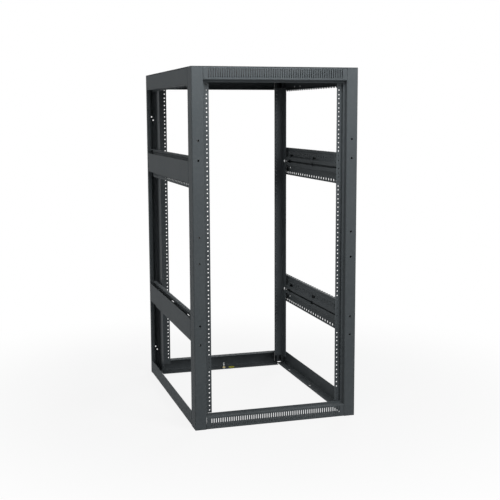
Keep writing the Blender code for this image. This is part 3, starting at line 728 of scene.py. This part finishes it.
def rack_rails():
    """The four rack rails, L-shaped, with three panel holes to each rack unit."""
    corners = [(RAIL_EDGE, 0.0), (RAIL_SIDE, 0.0), (RAIL_SIDE, RAIL_WALL)]
    holes = bmesh.new()
    for unit in range(UNITS):
        for height in UNIT_HOLES:
            centre = (HOLE_COLUMN, 0.0, FIRST_UNIT + unit * RACK_UNIT + height)
            round_punch(holes, centre, (0, 1, 0), PANEL_HOLE, sides=12)
        if unit:
            centre = (RAIL_SIDE, SIDE_HOLE_SETBACK, FIRST_UNIT + unit * RACK_UNIT)
            round_punch(holes, centre, (1, 0, 0), SIDE_HOLE, sides=12)
    for middle in BRACES.values():
        round_punch(holes, (RAIL_SIDE, BOLT_SETBACK, middle), (1, 0, 0), BOLT_HOLE)
    rail = pressed(folded(corners, RAIL_BOTTOM, RAIL_TOP, upright(1)), holes)
    for end, face in RAIL_FACE.items():
        facing = mirrored(rail, 1) if INWARD[end] < 0 else rail.copy()
        for side_name, side in SIDES.items():
            shape = mirrored(facing, 0) if side < 0 else facing.copy()
            bmesh.ops.translate(shape, verts=shape.verts, vec=(0, face, 0))
            fitted(f"{side_name}_{end}_rail", shape, "rack_rail_paint", f"{end}_{side_name}_rail",
                   f"{end}_{side_name}_rack_rail")
        facing.free()
    rail.free()


# ---------------------------------------------------------------------------
# Fasteners
# ---------------------------------------------------------------------------

THREAD_PITCH = 0.0010
THREAD_DEPTH = 0.00045
BOLT_RADIUS = 0.0030
BOLT_HEAD_RADIUS = 0.0065
BOLT_HEAD = 0.0035
BOLT_RELIEF = 0.0006           # plain shank under the head
CROSS = (0.0032, 0.0011, 0.0050)           # a cross recess: twice its depth, width, length
NUT_RADIUS = 0.0060
NUT_BORE = 0.0032              # radius
STUD_RADIUS = 0.0030
STUD_FOOT = [(0.0, 0.0), (0.0050, 0.0), (0.0055, 0.0004), (0.0055, 0.0012), (0.0052, 0.0015),
             (STUD_RADIUS, 0.0015)]        # (radius, height) up from the flange
STUD_THREAD = 0.0020           # where the stud's thread starts
WASHER = [(0.0033, 0.0), (0.0072, 0.0), (0.0075, 0.0003), (0.0075, 0.0009), (0.0072, 0.0012),
          (0.0033, 0.0012), (0.0033, 0.0)]
RIVET_RADIUS = 0.0034
RIVET_HEAD = 0.0019
RIVET_DOME = [(0.0, 0.0), (0.40, 0.05), (0.75, 0.30), (0.97, 0.75), (1.0, 1.0), (0.0, 1.0)]
BRACE_RIVETS = ((0.2525, -0.0255), (0.2925, -0.0255))  # back, and up from a brace's middle
TOP_RAIL_RIVETS = ((0.181, 1.171), (0.246, 1.171))     # back and up


def turned(profile, foot, axis, sides=20):
    """A solid turned from a line of (radius, height) points about an axis through its foot."""
    edit = bmesh.new()
    axis = Vector(axis)
    across = axis.orthogonal().normalized()
    points = [edit.verts.new(Vector(foot) + across * radius + axis * height)
              for radius, height in profile]
    for one, two in zip(points, points[1:]):
        edit.edges.new((one, two))
    bmesh.ops.spin(edit, geom=edit.verts[:] + edit.edges[:], cent=foot, axis=axis, angle=math.tau,
                   steps=sides, use_merge=True)
    bmesh.ops.remove_doubles(edit, verts=edit.verts, dist=1e-6)
    bmesh.ops.recalc_face_normals(edit, faces=edit.faces)
    return edit


def thread(radius, start, end):
    """The line of a thread's crests and roots."""
    count = int((end - start) / THREAD_PITCH)
    line = []
    for index in range(count):
        here = start + index * THREAD_PITCH
        line += [(radius - THREAD_DEPTH, here), (radius, here + THREAD_PITCH / 2)]
    return line + [(radius - THREAD_DEPTH, end - THREAD_PITCH / 4),
                   (radius - 1.6 * THREAD_DEPTH, end)]


def pan_bolt(foot, axis, length):
    """A pan head bolt along x with a cross recess, standing on its head."""
    crown = BOLT_HEAD * 0.32
    profile = [(0.0, 0.0), (BOLT_HEAD_RADIUS * 0.45, crown * 0.12),
               (BOLT_HEAD_RADIUS * 0.78, crown * 0.45), (BOLT_HEAD_RADIUS * 0.95, crown),
               (BOLT_HEAD_RADIUS, crown * 1.9), (BOLT_HEAD_RADIUS, BOLT_HEAD),
               (BOLT_RADIUS, BOLT_HEAD)]
    profile += thread(BOLT_RADIUS, BOLT_HEAD + BOLT_RELIEF, length) + [(0.0, length)]
    upright_arm, level_arm = bmesh.new(), bmesh.new()
    deep, narrow, long = CROSS
    block(upright_arm, foot, (deep, narrow, long))
    block(level_arm, foot, (deep, long, narrow))
    return pressed(turned(profile, foot, axis), upright_arm, level_arm, thickness=0.0)


def hex_nut(foot, axis, height):
    """A hexagon nut with rounded corners, standing on its face."""
    centre = Vector(foot) + Vector(axis) * (height / 2)
    edit = bmesh.new()
    round_punch(edit, centre, axis, 2 * NUT_RADIUS, reach=height, sides=6)
    bmesh.ops.recalc_face_normals(edit, faces=edit.faces)
    rims = [edge for edge in edit.edges if len(edge.link_faces[0].verts) == 6
            or len(edge.link_faces[1].verts) == 6]
    bmesh.ops.bevel(edit, geom=rims, offset=NUT_RADIUS * 0.10, affect="EDGES", segments=2,
                    profile=0.5, material=-1)
    hole = bmesh.new()
    round_punch(hole, centre, axis, 2 * NUT_BORE, reach=3 * height)
    return pressed(edit, hole, thickness=0.0)


def rail_fasteners():
    """The bolts that clamp the rack rails to the brace plates, and their nuts."""
    for end in INWARD:
        for side_name, side in SIDES.items():
            for level, middle in BRACES.items():
                body = f"{end}_{side_name}_rail"
                low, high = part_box(f"{end}_{side_name}_{level}_bolt")
                foot = (low[0] if side > 0 else high[0], BOLT_PLACE[end], middle)
                bolt = pan_bolt(foot, (side, 0, 0), high[0] - low[0])
                fitted(f"{side_name}_{end}_{level}_screw", bolt, "zinc_plated_steel", body,
                       f"{end}_{side_name}_{level}_bolt")
                low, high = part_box(f"{end}_{side_name}_{level}_nut")
                foot = (low[0] if side > 0 else high[0], BOLT_PLACE[end], middle)
                nut = hex_nut(foot, (side, 0, 0), high[0] - low[0])
                fitted(f"{side_name}_{end}_{level}_hexagon", nut, "zinc_plated_steel", body,
                       f"{end}_{side_name}_{level}_nut")


def grounding_point():
    """The stud with its washer and nut on the rear floor flange, and the round marker."""
    low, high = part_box("ground_stud")
    centre = ((low[0] + high[0]) / 2, (low[1] + high[1]) / 2, low[2])
    height = high[2] - low[2]
    profile = STUD_FOOT + thread(STUD_RADIUS, STUD_THREAD, height) + [(0.0, height)]
    fitted("stud", turned(profile, centre, (0, 0, 1)), "zinc_plated_steel", "cabinet",
           "ground_stud")

    low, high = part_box("ground_washer")
    ring = turned(WASHER, (centre[0], centre[1], low[2]), (0, 0, 1))
    fitted("washer", ring, "zinc_plated_steel", "cabinet", "ground_washer")

    low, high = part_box("ground_nut")
    nut = hex_nut((centre[0], centre[1], low[2]), (0, 0, 1), high[2] - low[2])
    fitted("stud_nut", nut, "yellow_zinc_steel", "cabinet", "ground_nut")

    low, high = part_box("ground_marker")
    centre = ((low[0] + high[0]) / 2, (low[1] + high[1]) / 2, low[2])
    radius, height = (high[0] - low[0]) / 2, high[2] - low[2]
    disc = turned([(0.0, 0.0), (radius, 0.0), (radius, height * 0.6), (radius - 0.0002, height),
                   (0.0, height)], centre, (0, 0, 1), 32)
    fitted("marker", disc, "yellow_vinyl", "cabinet", "ground_marker")


def rivets():
    """The small dome-headed rivets of the brace plates and the top rails."""
    profile = [(RIVET_RADIUS * across, RIVET_HEAD * down) for across, down in RIVET_DOME]
    spots = [(PLATE_FACE, back, middle + up) for middle in BRACES.values()
             for back, up in BRACE_RIVETS]
    spots += [(HALF_WIDTH - SHEET, back, up) for back, up in TOP_RAIL_RIVETS]
    for side_name, side in SIDES.items():
        for number, (face, back, up) in enumerate(spots, 1):
            foot = (side * (face - RIVET_HEAD), back, up)
            fitted(f"{side_name}_rivet_{number}", turned(profile, foot, (side, 0, 0), 16),
                   "zinc_plated_steel", "cabinet")


front_posts()
rear_posts()
fascias()
side_rails()
rear_rails()
lid()
covers()
brace_plates()
rack_rails()
rail_fasteners()
grounding_point()
rivets()

# ---------------------------------------------------------------------------
# Studio
# ---------------------------------------------------------------------------

EYE = Vector((-1.00236, -3.44319, 1.05840))
FOCAL_PIXELS = 956.306
FRAME_PIXELS = 500
SENSOR = 36.0
PITCH = 0.1402                 # radians down
YAW = 0.2896                   # radians to the right
ROLL = -0.0041
FLOOR_REACH = 12.0             # half the floor's width
FLOOR_GREY = (0.50, 0.50, 0.50)
SHADE = 0.12                   # how much darker the floor looks under the cabinet
SKY_LIGHT = 0.03               # strength of the even light on the cabinet


def camera():
    """The camera that took the photograph."""
    ahead = Vector((math.sin(YAW) * math.cos(PITCH), math.cos(YAW) * math.cos(PITCH),
                    -math.sin(PITCH)))
    level = Vector((math.cos(YAW), -math.sin(YAW), 0.0))
    over = level.cross(ahead)
    right = level * math.cos(ROLL) + over * math.sin(ROLL)
    up = over * math.cos(ROLL) - level * math.sin(ROLL)
    lens = bpy.data.cameras.new("camera")
    lens.sensor_width = SENSOR
    lens.lens = FOCAL_PIXELS * SENSOR / FRAME_PIXELS
    made = bpy.data.objects.new("camera", lens)
    made.matrix_world = Matrix((right, up, -ahead)).transposed().to_4x4()
    made.location = EYE
    bpy.context.scene.collection.objects.link(made)
    bpy.context.scene.camera = made


def softbox(name, place, aim, size, watts):
    """A rectangular area lamp at a place, turned to an aim."""
    lamp = bpy.data.lights.new(name, "AREA")
    lamp.shape = "RECTANGLE"
    lamp.size, lamp.size_y = size
    lamp.energy = watts
    made = bpy.data.objects.new(name, lamp)
    made.location = place
    made.rotation_euler = (Vector(aim) - Vector(place)).to_track_quat("-Z", "Y").to_euler()
    bpy.context.scene.collection.objects.link(made)


def floor():
    """A pale floor that fades into the background away from the cabinet."""
    edit = bmesh.new()
    bmesh.ops.create_grid(edit, x_segments=1, y_segments=1, size=FLOOR_REACH)
    made = mesh_object("floor", edit)
    paint = Finish("pale_floor")
    paint.tree.nodes.remove(paint.shader)
    matt = paint.node("ShaderNodeBsdfDiffuse", {}, Color=FLOOR_GREY)
    white = paint.node("ShaderNodeEmission", {}, Color=(1.0, 1.0, 1.0), Strength=1.0)
    away = paint.node("ShaderNodeVectorMath", {"operation": "LENGTH"}, paint.place,
                      output="Value")
    glow = paint.in_view() * (1.0 - SHADE + SHADE * away.ramp(0.5, 1.6))
    mixed = paint.node("ShaderNodeMixShader", {}, glow, matt, white)
    paint.feed(paint.tree.nodes["Material Output"].inputs["Surface"], mixed)
    made.data.materials.append(paint.material)


def surroundings():
    """White to the eye and to gloss, a low even light to everything else."""
    world = bpy.data.worlds.new("studio")
    bpy.context.scene.world = world
    world.use_nodes = True
    air = Network(world.node_tree)
    background = air.tree.nodes["Background"]
    air.feed(background.inputs["Color"], (1.0, 1.0, 1.0))
    air.feed(background.inputs["Strength"], SKY_LIGHT + (1.0 - SKY_LIGHT) * air.in_view())


camera()
floor()
surroundings()
softbox("front_right", (1.3, -2.4, 2.3), (0.0, 0.0, 0.6), (1.2, 0.9), 36.0)
softbox("front_left", (-2.4, -2.4, 1.2), (0.0, 0.0, 0.6), (1.4, 1.4), 13.0)
softbox("front", (0.35, -3.2, 1.45), (0.0, 0.0, 0.9), (1.0, 1.0), 20.0)
softbox("front_top", (-0.1, -1.0, 1.85), (-0.1, -0.4, 1.2), (0.9, 0.4), 13.0)
softbox("side", (-3.0, 0.3, 1.6), (0.0, 0.0, 0.6), (1.8, 1.8), 15.0)
softbox("back", (2.2, 2.6, 2.2), (0.0, 0.0, 0.6), (1.6, 1.2), 65.0)
bpy.context.scene.view_settings.view_transform = "Standard"
